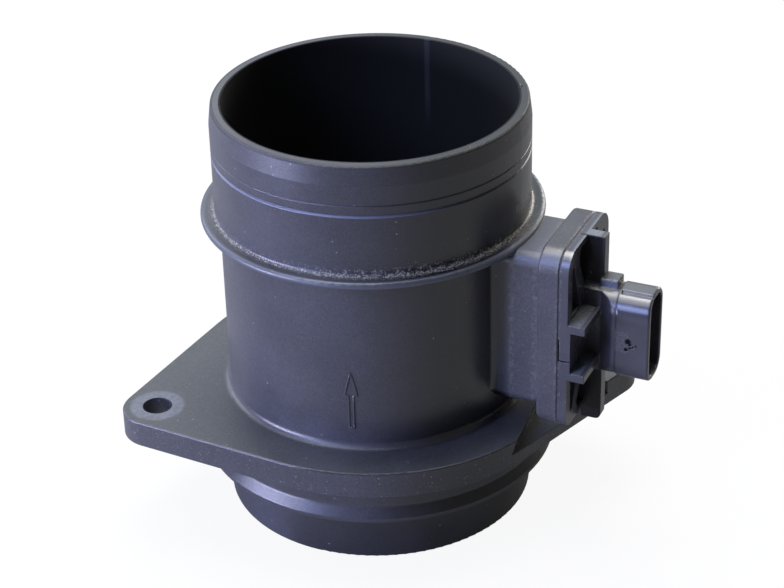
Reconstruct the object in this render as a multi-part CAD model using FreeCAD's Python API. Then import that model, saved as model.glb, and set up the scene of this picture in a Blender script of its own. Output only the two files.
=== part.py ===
import FreeCAD, Part
import math
import os

# A flange-mounted mass airflow sensor: a moulded duct, and a plug-in sensor that reaches into it.
# The duct's axis is Z. The origin is on that axis, in the lower face of the mounting flange.
# +X points along the plug-in sensor, out of its electrical connector. All sizes are in millimetres.

V = FreeCAD.Vector

# Duct
BORE_R = 38.35
DUCT_WALL = 2.1
SPIGOT_WALL = 3.4
SPIGOT_DEPTH = 26.2
OUTLET_Z = 89.0
HOSE_WALL = 3.3
HOSE_GROOVE_Z = 75.3
HOSE_GROOVE_DEPTH = 0.4
GROOVE_Z = 78.5
GROOVE_WIDTH = 0.5
GROOVE_DEPTH = 0.25
GROOVE_EDGE_ROUND = 0.1
LEAD_IN_LENGTH = 5.3
LEAD_IN_DROP = 0.65
LEAD_IN_ROUND = 1.0
RIM_ROUND = 0.5
BORE_LIP_ROUND = 0.2
SPIGOT_LIP_ROUND = 0.4
GRILLE_LIP_ROUND = 0.3
COLLAR_Z = 57.0
COLLAR_THICK = 2.0
COLLAR_REACH = 4.95
COLLAR_EDGE_ROUND = 0.96
DUCT_FOOT_ROUND = 1.8
COLLAR_FOOT_ROUND = 0.8

# Mounting flange
FLANGE_R = 52.5
FLANGE_THICK = 7.5
FLANGE_EDGE_ROUND = 0.5
EAR_R = 9.3
EAR_REACH = 61.7
EAR_ANGLES = (26.6, 220.8)
EAR_HOLE_R = 3.95
POCKET_START_X = 48.5
POCKET_START_Y = -19.9
POCKET_WALL_LEAN = 0.9
POCKET_TURN = 5.7
POCKET_FLOOR_Z = 3.6
POCKET_LENGTH = 34.5

# Seal seat below the flange, with its retaining ridge and the hollow behind it
SEAL_SEAT_R = 46.6
SEAL_SEAT_LENGTH = 6.6
SEAL_SEAT_ROUND = 1.5
RIDGE_R = 48.3
RIDGE_CONE = 2.9
RIDGE_LAND = 1.2
RIDGE_TOP_ROUND = 0.6
RIDGE_LOW_ROUND = 0.5
SKIRT_WALL = 2.0
HOLLOW_ROOF = 3.6
HOLLOW_STEP = 0.5
HOLLOW_ROUND = 0.8
HOLLOW_RIBS = 12
HOLLOW_RIB_THICK = 1.8
HOLLOW_RIB_RECESS = 2.5

# Neck and face of the sensor's socket
NECK_HALF_WIDTH = 12.3
NECK_MIDDLE_Y = 0.3
NECK_LOW_Z = 13.4
NECK_HIGH_Z = 57.9
NECK_TOP_ROUND = 3.5
NECK_LOW_ROUND = 3.0
NECK_FOOT_ROUND = 2.0
FOOT_OVERLAP = 1.5
SLOT_HALF_WIDTH = 8.2
SLOT_WALL = 3.6
FACE_START_X = 51.0
FACE_THICK = 5.8
FACE_HALF_WIDTH = 15.4
FACE_LOW_Z = 9.1
FACE_HIGH_Z = 60.0
FACE_TOP_ROUND = 5.6
FACE_LOW_ROUND = 4.0
FACE_BACK_ROUND = 0.8
FACE_HEEL_ROUND = 5.0
SEAM_CHAMFER = 0.3

# Cover plate of the plug-in sensor, with diagonal braces left between its pockets
SENSOR_MIDDLE_Y = 2.0
COVER_THICK = 2.6
COVER_POCKET_DEPTH = 1.9
COVER_RIM = 3.2
COVER_TOP_RIM = 1.5
COVER_BRACE = 3.4
BRACE_INNER_Y = 3.0
BRACE_OUTER_Y = 8.6
BRACE_KNEE = 0.2
BRACE_FOOT_WIDTH = 2.5
BRACE_KNEE_WIDTH = 1.3
OUTER_POCKET_WIDTH = 1.6
SHELF_MARGIN = 1.0
CONNECTOR_MARGIN = 0.3
LATCH_PAD_PROUD = 0.8
LATCH_Z = (30.1, 36.1)
LATCH_DEPTH = 3.2
LATCH_SLIT = 0.45
SHELF_REACH = 4.6
SHELF_THICK = 2.2
UPPER_SHELF_Z = 38.5
LOWER_SHELF_Z = 24.4
WEB_REACH = 4.8
WEB_THICK = 3.4
LOWER_WEB_Z = 5.6
WEB_TOE_ROUND = 1.5
NOSE_REACH = 4.0
NOSE_RISE = 2.0
NOSE_WIDTH = 4.4
NOSE_LAP = 0.8
NOSE_ROUND = 0.4

# Electrical connector
CONNECTOR_Z = 33.8
CONNECTOR_HALF_WIDTH = 5.6
CONNECTOR_HALF_HEIGHT = 12.75
CONNECTOR_ROUND = 4.4
CONNECTOR_LENGTH = 18.4
CONNECTOR_WAIST = 3.4
WAIST_LENGTH = 4.8
WAIST_SLOPE = 3.4
WAIST_ROUND = 1.5
SLEEVE_LENGTH = 9.0
SLEEVE_PROUD = 0.35
SLEEVE_EDGE_ROUND = 0.315
MOUTH_CHAMFER = 0.325
CONNECTOR_WALL = 1.3
KEYWAY_WIDTH = 1.8
KEYWAY_DEPTH = 0.8
KEYWAY_Y = -3.2
KEYWAY_SETBACK = 0.6
PIN_COUNT = 5
PIN_PITCH = 3.8
PIN_THICK = 0.6
PIN_WIDTH = 1.2
PIN_SETBACK = 5.0
PIN_INNER_REACH = 3.0

# Plug and seal in the socket
PLUG_GAP = 0.15
SEAL_CORD_R = 1.3
SEAL_GROOVE_X = 47.4
SEAL_GROOVE_WIDTH = 3.0
SEAL_GAP = 0.05

# Measuring finger that crosses the duct
FINGER_TIP_X = -9.5
FINGER_HALF_WIDTH = 5.0
FINGER_LOW_Z = 21.5
FINGER_HIGH_Z = 50.5
FINGER_ROUND = 3.0
LID_THICK = 1.0
LID_LAP = 1.2
LID_GAP = 0.1
PANEL_INSET = 3.2
PANEL_DEPTH = 0.33

# Bypass channel in the finger's tip
CHANNEL_WIDTH = 4.0
CHANNEL_FLOOR_Y = 3.0
CHANNEL_LOOP_R = 5.75
CHANNEL_LOOP_X = 0.25
CHANNEL_LOOP_Z = 37.5
CHANNEL_OUTLET_Z = 29.0
CHANNEL_OUTLET_HEIGHT = 4.5
MOUTH_HALF_WIDTH = 3.0

# Electronics pocket in the finger
POCKET_LOW_X = 15.5
POCKET_HIGH_X = 36.5
POCKET_LOW_Z = 26.0
POCKET_HIGH_Z = 45.5
ELECTRONICS_FLOOR_Y = 2.0
BASE_THICK = 0.8
FIT_GAP = 0.1
BOARD_THICK = 0.65
BOARD_LOW_X = 19.0
BOARD_HIGH_X = 32.5
BOARD_MARGIN = 1.0
CHIP_SIZE = 6.0
CHIP_THICK = 1.0
CHIP_X = 23.5
CHIP_Z = 38.0
CAPACITOR_SIZE = (1.6, 0.8, 1.0)
CAPACITOR_COUNT = 4
CAPACITOR_PITCH = 3.2
GEL_DEPTH = 1.6
GEL_SETBACK = 2.0
TONGUE_THICK = 0.6
TONGUE_HALF_HEIGHT = 2.0
TONGUE_LAP = 2.6
TONGUE_SETBACK = 0.6
ELEMENT_SIZE = (2.8, 0.4, 3.2)
WIRE_R = 0.15
WIRE_RISE = 1.0
WIRE_END_INSET = 0.8

# Air temperature sensor under the finger, with its guard
BEAD_X = 25.0
BEAD_R = 1.4
BEAD_DROP = 5.0
LEAD_R = 0.3
LEAD_SPACING = 1.6
LEAD_END_RISE = 1.2
GUARD_HALF_LENGTH = 5.5
GUARD_DROP = 8.5
GUARD_WALL = 1.3
GUARD_HALF_WIDTH = 2.2

# Flow grille in the inlet
GRILLE_SEAT_STEP = 1.3
GRILLE_SEAT_DEPTH = 12.0
GRILLE_RECESS = 1.5
GRILLE_GAP = 0.1
GRILLE_RING_WALL = 2.0
CELL_PITCH = 7.8
CELL_WALL = 0.9

# How far pieces of one moulding reach into each other before they are joined
LAP = 0.5

SPIGOT_R = BORE_R + SPIGOT_WALL
DUCT_R = BORE_R + DUCT_WALL
HOSE_R = BORE_R + HOSE_WALL
COLLAR_R = DUCT_R + COLLAR_REACH
FACE_END_X = FACE_START_X + FACE_THICK
COVER_END_X = FACE_END_X + COVER_THICK
CONNECTOR_END_X = COVER_END_X + CONNECTOR_LENGTH
WAIST_END_X = COVER_END_X + WAIST_LENGTH
FULL_WIDTH_X = WAIST_END_X + WAIST_SLOPE
CONNECTOR_TOP_Z = CONNECTOR_Z + CONNECTOR_HALF_HEIGHT
CONNECTOR_LOW_Z = CONNECTOR_Z - CONNECTOR_HALF_HEIGHT
BOARD_FACE_Y = ELECTRONICS_FLOOR_Y - BASE_THICK - BOARD_THICK
LID_SEAT_Y = LID_THICK - FINGER_HALF_WIDTH


def rounded_outline(corners, place):
    """Closed wire through (u, v, radius) corners, each turned by a tangent arc of its radius."""
    points = [V(u, v, 0) for u, v, radius in corners]
    stops = []
    for i, (u, v, radius) in enumerate(corners):
        here = points[i]
        back = (points[i - 1] - here).normalize()
        ahead = (points[(i + 1) % len(points)] - here).normalize()
        if radius <= 0:
            stops.append((here,))
            continue
        half = back.getAngle(ahead) / 2
        reach = radius / math.tan(half)
        middle = (back + ahead).normalize()
        crown = here + middle * (radius / math.sin(half) - radius)
        stops.append((here + back * reach, crown, here + ahead * reach))
    edges = []
    for i, stop in enumerate(stops):
        if len(stop) == 3:
            edges.append(Part.Arc(*[place(p.x, p.y) for p in stop]).toShape())
        start = place(stop[-1].x, stop[-1].y)
        following = stops[(i + 1) % len(stops)][0]
        end = place(following.x, following.y)
        if start.distanceToPoint(end) > 1e-6:
            edges.append(Part.LineSegment(start, end).toShape())
    return Part.Wire(edges)


def turned(corners):
    """Solid of revolution about Z from (radius, height, corner radius) points."""
    face = Part.Face(rounded_outline(corners, lambda r, z: V(r, 0, z)))
    return face.revolve(V(0, 0, 0), V(0, 0, 1), 360)


def slab(half_width, low_z, high_z, top_round, low_round, x0, x1, middle_y=0.0):
    """Rounded rectangle in the YZ plane, extruded along X from x0 to x1."""
    corners = [
        (middle_y - half_width, low_z, low_round),
        (middle_y + half_width, low_z, low_round),
        (middle_y + half_width, high_z, top_round),
        (middle_y - half_width, high_z, top_round),
    ]
    face = Part.Face(rounded_outline(corners, lambda y, z: V(x0, y, z)))
    return face.extrude(V(x1 - x0, 0, 0))


def block(x0, x1, y0, y1, z0, z1):
    """Plain box between two corners."""
    return Part.makeBox(x1 - x0, y1 - y0, z1 - z0, V(x0, y0, z0))


def polar(radius, angle, z=0.0):
    """Point at a radius and an angle in degrees about Z."""
    turn = math.radians(angle)
    return V(radius * math.cos(turn), radius * math.sin(turn), z)


def joined(first, *others):
    """One solid from several that meet, without seams inside flat faces."""
    return first.fuse(list(others)).removeSplitter()


def edges_at_x(shape, x):
    """Edges that lie wholly in the plane at x."""
    return [e for e in shape.Edges if abs(e.BoundBox.XMin - x) < 1e-4 and abs(e.BoundBox.XMax - x) < 1e-4]


# The flange outline runs round the duct and out to an ear at each bolt
def flange_outline(z):
    """Wire round the flange: arcs about the duct and each ear, with tangent lines between them."""
    splay = math.degrees(math.acos((FLANGE_R - EAR_R) / EAR_REACH))
    edges = []
    for i, angle in enumerate(EAR_ANGLES):
        ear = polar(EAR_REACH, angle, z)
        start = ear + polar(EAR_R, angle - splay)
        end = ear + polar(EAR_R, angle + splay)
        edges.append(Part.Arc(start, ear + polar(EAR_R, angle), end).toShape())
        leave = polar(FLANGE_R, angle + splay, z)
        edges.append(Part.LineSegment(end, leave).toShape())
        following = EAR_ANGLES[(i + 1) % len(EAR_ANGLES)]
        turn = (following - angle) % 360 - 2 * splay
        middle = polar(FLANGE_R, angle + splay + turn / 2, z)
        arrive = polar(FLANGE_R, angle + splay + turn, z)
        edges.append(Part.Arc(leave, middle, arrive).toShape())
        next_ear = polar(EAR_REACH, following, z) + polar(EAR_R, following - splay)
        edges.append(Part.LineSegment(arrive, next_ear).toShape())
    return Part.Wire(Part.__sortEdges__(edges))


def mounting_flange():
    """Plate with two ears, softened along its upper and lower outline."""
    plate = Part.Face(flange_outline(0)).extrude(V(0, 0, FLANGE_THICK))
    rims = [e for e in plate.Edges if e.BoundBox.ZLength < 1e-4]
    return plate.makeFillet(FLANGE_EDGE_ROUND, rims)


def duct_wall():
    """Spigot, seal seat, tube, collar and hose end, turned in one profile."""
    ridge_top_z = -SEAL_SEAT_LENGTH - RIDGE_CONE
    ridge_low_z = ridge_top_z - RIDGE_LAND
    seat_r = BORE_R + GRILLE_SEAT_STEP
    collar_top_z = COLLAR_Z + COLLAR_THICK
    return turned([
        (seat_r, -SPIGOT_DEPTH, GRILLE_LIP_ROUND),
        (SPIGOT_R, -SPIGOT_DEPTH, SPIGOT_LIP_ROUND),
        (SPIGOT_R, ridge_low_z, 0),
        (RIDGE_R, ridge_low_z, RIDGE_LOW_ROUND),
        (RIDGE_R, ridge_top_z, RIDGE_TOP_ROUND),
        (SEAL_SEAT_R, -SEAL_SEAT_LENGTH, SEAL_SEAT_ROUND),
        (SEAL_SEAT_R, FLANGE_THICK, 0),
        (DUCT_R, FLANGE_THICK, DUCT_FOOT_ROUND),
        (DUCT_R, COLLAR_Z, COLLAR_FOOT_ROUND),
        (COLLAR_R, COLLAR_Z, COLLAR_EDGE_ROUND),
        (COLLAR_R, collar_top_z, COLLAR_EDGE_ROUND),
        (HOSE_R, collar_top_z, COLLAR_FOOT_ROUND),
        (HOSE_R, HOSE_GROOVE_Z, GROOVE_EDGE_ROUND),
        (HOSE_R - HOSE_GROOVE_DEPTH, HOSE_GROOVE_Z + HOSE_GROOVE_DEPTH, 0),
        (HOSE_R, HOSE_GROOVE_Z + 2 * HOSE_GROOVE_DEPTH, GROOVE_EDGE_ROUND),
        (HOSE_R, GROOVE_Z - GROOVE_WIDTH / 2, 0),
        (HOSE_R - GROOVE_DEPTH, GROOVE_Z, 0),
        (HOSE_R, GROOVE_Z + GROOVE_WIDTH / 2, 0),
        (HOSE_R, OUTLET_Z - LEAD_IN_LENGTH, LEAD_IN_ROUND),
        (HOSE_R - LEAD_IN_DROP, OUTLET_Z, RIM_ROUND),
        (BORE_R, OUTLET_Z, BORE_LIP_ROUND),
        (BORE_R, GRILLE_SEAT_DEPTH - SPIGOT_DEPTH, 0),
        (seat_r, GRILLE_SEAT_DEPTH - SPIGOT_DEPTH, 0),
    ])


def skirt_hollow():
    """Ring of pockets between the spigot and the skirt, open below and parted by ribs."""
    low_z = -SEAL_SEAT_LENGTH - RIDGE_CONE - RIDGE_LAND
    roof_z = FLANGE_THICK - HOLLOW_ROOF
    skirt_r = SEAL_SEAT_R - SKIRT_WALL
    root_r = SPIGOT_R - HOLLOW_STEP
    ring = turned([
        (SPIGOT_R, low_z - 1, 0),
        (skirt_r, low_z - 1, 0),
        (skirt_r, roof_z, HOLLOW_ROUND),
        (root_r, roof_z, HOLLOW_ROUND),
        (root_r, low_z + HOLLOW_STEP, 0),
        (SPIGOT_R, low_z, 0),
    ])
    rib_low_z = low_z + HOLLOW_RIB_RECESS
    rib_half = HOLLOW_RIB_THICK / 2
    rib = block(root_r - 1, skirt_r + 1, -rib_half, rib_half, rib_low_z, roof_z + 1)
    ribs = []
    for i in range(HOLLOW_RIBS):
        copy = rib.copy()
        copy.rotate(V(0, 0, 0), V(0, 0, 1), (i + 0.5) * 360 / HOLLOW_RIBS)
        ribs.append(copy)
    return ring.cut(ribs)


def neck_on_duct():
    """Neck of the socket on a length of the duct, with a rounded foot along both sides."""
    duct = Part.makeCylinder(DUCT_R, NECK_HIGH_Z - FLANGE_THICK, V(0, 0, FLANGE_THICK))
    neck = slab(NECK_HALF_WIDTH, NECK_LOW_Z, NECK_HIGH_Z, NECK_TOP_ROUND, NECK_LOW_ROUND,
                BORE_R - 8, FACE_START_X + 1, NECK_MIDDLE_Y)
    low_z, high_z = NECK_LOW_Z + NECK_LOW_ROUND, NECK_HIGH_Z - NECK_TOP_ROUND
    feet = []
    for side in (-1, 1):
        y = NECK_MIDDLE_Y + side * NECK_HALF_WIDTH
        x = math.sqrt(DUCT_R ** 2 - y ** 2)
        feet.append(foot_fillet(x, y, side, low_z, high_z))
    return joined(duct, neck, *feet)


def foot_fillet(x, y, side, low_z, high_z):
    """Upright concave strip in the corner at (x, y) between the duct and one side of the neck."""
    radius = NECK_FOOT_ROUND
    centre_y = y + side * radius
    centre_x = math.sqrt((DUCT_R + radius) ** 2 - centre_y ** 2)
    on_duct = V(centre_x, centre_y, low_z) * (DUCT_R / (DUCT_R + radius))
    on_duct.z = low_z
    on_neck = V(centre_x, y, low_z)
    centre = V(centre_x, centre_y, low_z)
    crown = centre + ((on_duct + on_neck) * 0.5 - centre).normalize() * radius
    inside = V(x - FOOT_OVERLAP, y - side * FOOT_OVERLAP, low_z)
    edges = [
        Part.Arc(on_duct, crown, on_neck).toShape(),
        Part.LineSegment(on_neck, inside).toShape(),
        Part.LineSegment(inside, on_duct).toShape(),
    ]
    return Part.Face(Part.Wire(edges)).extrude(V(0, 0, high_z - low_z))


def socket_face():
    """Thicker face that the sensor's cover lands on, with a rounded heel under its back edge."""
    face = slab(FACE_HALF_WIDTH, FACE_LOW_Z, FACE_HIGH_Z, FACE_TOP_ROUND, FACE_LOW_ROUND,
                FACE_START_X, FACE_END_X, SENSOR_MIDDLE_Y)
    face = face.makeFillet(FACE_BACK_ROUND, edges_at_x(face, FACE_START_X))
    face = face.makeChamfer(SEAM_CHAMFER, edges_at_x(face, FACE_END_X))
    reach_y = SENSOR_MIDDLE_Y - FACE_HALF_WIDTH - 1
    profile = rounded_outline([
        (FACE_START_X - 1, FACE_HIGH_Z + 1, 0),
        (FACE_START_X - 1, FACE_LOW_Z + FACE_HEEL_ROUND + 1, 0),
        (FACE_START_X, FACE_LOW_Z + FACE_HEEL_ROUND + 1, 0),
        (FACE_START_X, FACE_LOW_Z, FACE_HEEL_ROUND),
        (FACE_END_X + 1, FACE_LOW_Z, 0),
        (FACE_END_X + 1, FACE_HIGH_Z + 1, 0),
    ], lambda x, z: V(x, reach_y, z))
    return face.common(Part.Face(profile).extrude(V(0, 2 * FACE_HALF_WIDTH + 2, 0)))


def socket_space(gap, x0, x1, middle_y):
    """Rounded slot through the neck; a gap shrinks it to the plug that fills it."""
    half = SLOT_HALF_WIDTH - gap
    low_z = NECK_LOW_Z + SLOT_WALL + gap
    high_z = NECK_HIGH_Z - SLOT_WALL - gap
    corner = half - 0.01
    return slab(half, low_z, high_z, corner, corner, x0, x1, middle_y)


def flange_pocket():
    """Lowered patch of the flange's top under the sensor, behind a leaning wall."""
    low_x = POCKET_START_X - POCKET_WALL_LEAN
    lean_per_mm = POCKET_WALL_LEAN / (FLANGE_THICK - POCKET_FLOOR_Z)
    reach = EAR_REACH + EAR_R
    start_y = POCKET_START_Y - FLANGE_THICK
    corners = [
        V(low_x, start_y, POCKET_FLOOR_Z),
        V(reach, start_y, POCKET_FLOOR_Z),
        V(reach, start_y, FLANGE_THICK + 1),
        V(POCKET_START_X + lean_per_mm, start_y, FLANGE_THICK + 1),
    ]
    profile = Part.Face(Part.makePolygon(corners + corners[:1]))
    pocket = profile.extrude(V(0, POCKET_LENGTH + FLANGE_THICK, 0))
    pocket.rotate(V(POCKET_START_X, POCKET_START_Y, 0), V(0, 0, 1), POCKET_TURN)
    return pocket


def tube_housing():
    """Duct, flange and sensor socket, moulded as one piece."""
    body = duct_wall().fuse([mounting_flange(), neck_on_duct(), socket_face()])
    seat_z = GRILLE_SEAT_DEPTH - SPIGOT_DEPTH
    bore = Part.makeCylinder(BORE_R, OUTLET_Z - seat_z, V(0, 0, seat_z))
    slot = socket_space(0, BORE_R / 2, FACE_END_X + 1, SENSOR_MIDDLE_Y)
    tools = [bore, skirt_hollow(), slot, flange_pocket()]
    for angle in EAR_ANGLES:
        tools.append(Part.makeCylinder(EAR_HOLE_R, FLANGE_THICK + 2, polar(EAR_REACH, angle, -1)))
    return body.cut(tools).removeSplitter()


def hexagon_cell(x, y, z0, z1):
    """Six-sided prism, one opening of the grille."""
    across = (CELL_PITCH - CELL_WALL) / math.sqrt(3)
    corners = [V(x, y, z0) + polar(across, 30 + 60 * k) for k in range(6)]
    return Part.Face(Part.makePolygon(corners + corners[:1])).extrude(V(0, 0, z1 - z0))


def flow_grille():
    """Honeycomb that calms the air, in a ring that seats in the spigot's mouth."""
    low_z = GRILLE_RECESS - SPIGOT_DEPTH
    high_z = GRILLE_SEAT_DEPTH - SPIGOT_DEPTH - GRILLE_GAP
    ring_r = BORE_R + GRILLE_SEAT_STEP - GRILLE_GAP
    inner_r = ring_r - GRILLE_RING_WALL
    disc = Part.makeCylinder(ring_r, high_z - low_z, V(0, 0, low_z))
    well = Part.makeCylinder(inner_r, high_z - low_z + 2, V(0, 0, low_z - 1))
    row_pitch = CELL_PITCH * math.sqrt(3) / 2
    rows = int(inner_r / row_pitch) + 1
    cell_half = (CELL_PITCH - CELL_WALL) / 2
    cells = []
    for row in range(-rows, rows + 1):
        for column in range(-rows - 1, rows + 2):
            x = (column + 0.5 * (row % 2)) * CELL_PITCH
            y = row * row_pitch
            distance = math.hypot(x, y)
            cell = hexagon_cell(x, y, low_z - 1, high_z + 1)
            if distance + 2 * cell_half < inner_r:
                cells.append(cell)
            elif distance < inner_r:
                cells.append(cell.common(well))
    return disc.cut(Part.makeCompound(cells))


def cover_pockets():
    """Three-sided pockets beside the web and along each edge, with a diagonal brace between."""
    floor_x = COVER_END_X - COVER_POCKET_DEPTH
    edge_y = FACE_HALF_WIDTH - COVER_RIM
    web_y = WEB_THICK / 2
    bands = (
        (UPPER_SHELF_Z + SHELF_THICK + SHELF_MARGIN, CONNECTOR_TOP_Z + CONNECTOR_MARGIN,
         FACE_HIGH_Z - COVER_TOP_RIM),
        (LOWER_SHELF_Z - SHELF_MARGIN, CONNECTOR_LOW_Z - CONNECTOR_MARGIN, FACE_LOW_Z + COVER_TOP_RIM),
    )
    pockets = []
    for start_z, inner_z, end_z in bands:
        knee_z = end_z + (start_z - end_z) * BRACE_KNEE
        outer = [(edge_y, start_z), (edge_y, knee_z), (edge_y - OUTER_POCKET_WIDTH, knee_z),
                 (BRACE_INNER_Y + COVER_BRACE, start_z)]
        inner = [(web_y, inner_z), (BRACE_INNER_Y, inner_z), (BRACE_OUTER_Y - BRACE_KNEE_WIDTH, knee_z),
                 (BRACE_OUTER_Y - BRACE_FOOT_WIDTH, end_z), (web_y, end_z)]
        for side in (-1, 1):
            for corners in (outer, inner):
                points = [V(floor_x, side * y, z) for y, z in corners]
                face = Part.Face(Part.makePolygon(points + points[:1]))
                pockets.append(face.extrude(V(COVER_POCKET_DEPTH + 1, 0, 0)))
    return pockets


def cover_plate():
    """Plate that lands on the socket's face, with its pockets, latches and seam chamfer."""
    plate = slab(FACE_HALF_WIDTH, FACE_LOW_Z, FACE_HIGH_Z, FACE_TOP_ROUND, FACE_LOW_ROUND,
                 FACE_END_X, COVER_END_X)
    plate = plate.makeChamfer(SEAM_CHAMFER, edges_at_x(plate, FACE_END_X))
    pads = []
    cuts = cover_pockets()
    for side in (-1, 1):
        edge_y = side * FACE_HALF_WIDTH
        inner_y = side * CONNECTOR_WAIST / 2
        pads.append(block(COVER_END_X - LAP, COVER_END_X + LATCH_PAD_PROUD, min(edge_y, inner_y),
                          max(edge_y, inner_y), LOWER_SHELF_Z, UPPER_SHELF_Z + SHELF_THICK))
        outer_y = side * (FACE_HALF_WIDTH + 1)
        root_y = side * (FACE_HALF_WIDTH - LATCH_DEPTH)
        near_y, far_y = min(outer_y, root_y), max(outer_y, root_y)
        cuts.append(block(FACE_END_X - 1, FACE_END_X + LATCH_SLIT, near_y, far_y, LATCH_Z[0], LATCH_Z[1]))
        cuts.append(block(FACE_END_X - 1, COVER_END_X + 2, near_y, far_y,
                          LATCH_Z[0] - LATCH_SLIT, LATCH_Z[0]))
    return plate.fuse(pads).cut(cuts)


def cover_ribs():
    """Shelves beside the connector, and the upright web above and below it."""
    ribs = []
    for side in (-1, 1):
        edge_y = side * FACE_HALF_WIDTH
        for low_z in (UPPER_SHELF_Z, LOWER_SHELF_Z):
            ribs.append(block(COVER_END_X - LAP, COVER_END_X + SHELF_REACH, min(edge_y, 0), max(edge_y, 0),
                              low_z, low_z + SHELF_THICK))
    web_x = COVER_END_X + WEB_REACH
    outline = rounded_outline([
        (COVER_END_X - LAP, LOWER_WEB_Z, 0),
        (web_x, LOWER_WEB_Z, WEB_TOE_ROUND),
        (web_x, FACE_HIGH_Z, 0),
        (COVER_END_X - LAP, FACE_HIGH_Z, 0),
    ], lambda x, z: V(x, -WEB_THICK / 2, z))
    ribs.append(Part.Face(outline).extrude(V(0, WEB_THICK, 0)))
    nose = block(web_x - NOSE_LAP, web_x + NOSE_REACH, -NOSE_WIDTH / 2, NOSE_WIDTH / 2,
                 CONNECTOR_Z, CONNECTOR_TOP_Z + NOSE_RISE)
    top = [e for e in nose.Edges if abs(e.BoundBox.ZMin - CONNECTOR_TOP_Z - NOSE_RISE) < 1e-4]
    ribs.append(nose.makeFillet(NOSE_ROUND, top))
    return ribs


def connector_shroud():
    """Outside of the connector: a waisted body and a slightly fuller sleeve at its mouth."""
    sleeve_x = CONNECTOR_END_X - SLEEVE_LENGTH
    slim = SLEEVE_PROUD
    body = slab(CONNECTOR_HALF_WIDTH - slim, CONNECTOR_LOW_Z + slim, CONNECTOR_TOP_Z - slim,
                CONNECTOR_ROUND - slim, CONNECTOR_ROUND - slim, COVER_END_X - LAP, sleeve_x + LAP)
    low_z = CONNECTOR_LOW_Z - 1
    plan = rounded_outline([
        (COVER_END_X - 1, -CONNECTOR_WAIST, 0),
        (WAIST_END_X, -CONNECTOR_WAIST, WAIST_ROUND),
        (FULL_WIDTH_X, slim - CONNECTOR_HALF_WIDTH, WAIST_ROUND),
        (sleeve_x + 1, slim - CONNECTOR_HALF_WIDTH, 0),
        (sleeve_x + 1, CONNECTOR_HALF_WIDTH - slim, 0),
        (FULL_WIDTH_X, CONNECTOR_HALF_WIDTH - slim, WAIST_ROUND),
        (WAIST_END_X, CONNECTOR_WAIST, WAIST_ROUND),
        (COVER_END_X - 1, CONNECTOR_WAIST, 0),
    ], lambda x, y: V(x, y, low_z))
    body = body.common(Part.Face(plan).extrude(V(0, 0, 2 * CONNECTOR_HALF_HEIGHT + 2)))
    sleeve = slab(CONNECTOR_HALF_WIDTH, CONNECTOR_LOW_Z, CONNECTOR_TOP_Z, CONNECTOR_ROUND, CONNECTOR_ROUND,
                  sleeve_x, CONNECTOR_END_X)
    sleeve = sleeve.makeFillet(SLEEVE_EDGE_ROUND, edges_at_x(sleeve, sleeve_x))
    sleeve = sleeve.makeChamfer(MOUTH_CHAMFER, edges_at_x(sleeve, CONNECTOR_END_X))
    return [body, sleeve]


def connector_space():
    """Room inside the connector for the mating plug, as deep as it is full width, and the keyway on top."""
    wall = CONNECTOR_WALL
    cavity = slab(CONNECTOR_HALF_WIDTH - wall, CONNECTOR_LOW_Z + wall, CONNECTOR_TOP_Z - wall,
                  CONNECTOR_ROUND - wall, CONNECTOR_ROUND - wall,
                  FULL_WIDTH_X, CONNECTOR_END_X + 1)
    keyway = block(CONNECTOR_END_X - SLEEVE_LENGTH + KEYWAY_SETBACK, CONNECTOR_END_X + 1,
                   KEYWAY_Y - KEYWAY_WIDTH / 2, KEYWAY_Y + KEYWAY_WIDTH / 2,
                   CONNECTOR_TOP_Z - KEYWAY_DEPTH, CONNECTOR_TOP_Z + 1)
    return [cavity, keyway]


def sensor_plug():
    """Rounded plug that fills the socket, with the seal's groove round it."""
    plug = socket_space(PLUG_GAP, BORE_R / 2, FACE_END_X + LAP, 0)
    bore = Part.makeCylinder(BORE_R, OUTLET_Z, V(0, -SENSOR_MIDDLE_Y, 0))
    groove_end_x = SEAL_GROOVE_X + SEAL_GROOVE_WIDTH
    outer = socket_space(-1, SEAL_GROOVE_X, groove_end_x, 0)
    core = socket_space(2 * (SEAL_CORD_R + SEAL_GAP), SEAL_GROOVE_X - 1, groove_end_x + 1, 0)
    return plug.cut([bore, outer.cut(core)])


def sensor_seal_ring():
    """Round-section seal that lies in the plug's groove against the socket wall."""
    inset = SEAL_GAP + SEAL_CORD_R
    half = SLOT_HALF_WIDTH - inset
    low_z = NECK_LOW_Z + SLOT_WALL + inset
    high_z = NECK_HIGH_Z - SLOT_WALL - inset
    x = SEAL_GROOVE_X + SEAL_GROOVE_WIDTH / 2
    pieces = []
    for end_z, side in ((high_z - half, -90), (low_z + half, 90)):
        bend = Part.makeTorus(half, SEAL_CORD_R, V(x, 0, end_z), V(1, 0, 0), 0, 360, 180)
        bend.rotate(V(x, 0, end_z), V(1, 0, 0), side)
        pieces.append(bend)
    for y in (-half, half):
        start = V(x, y, low_z + half)
        pieces.append(Part.makeCylinder(SEAL_CORD_R, high_z - low_z - 2 * half, start))
    return joined(*pieces)


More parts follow.
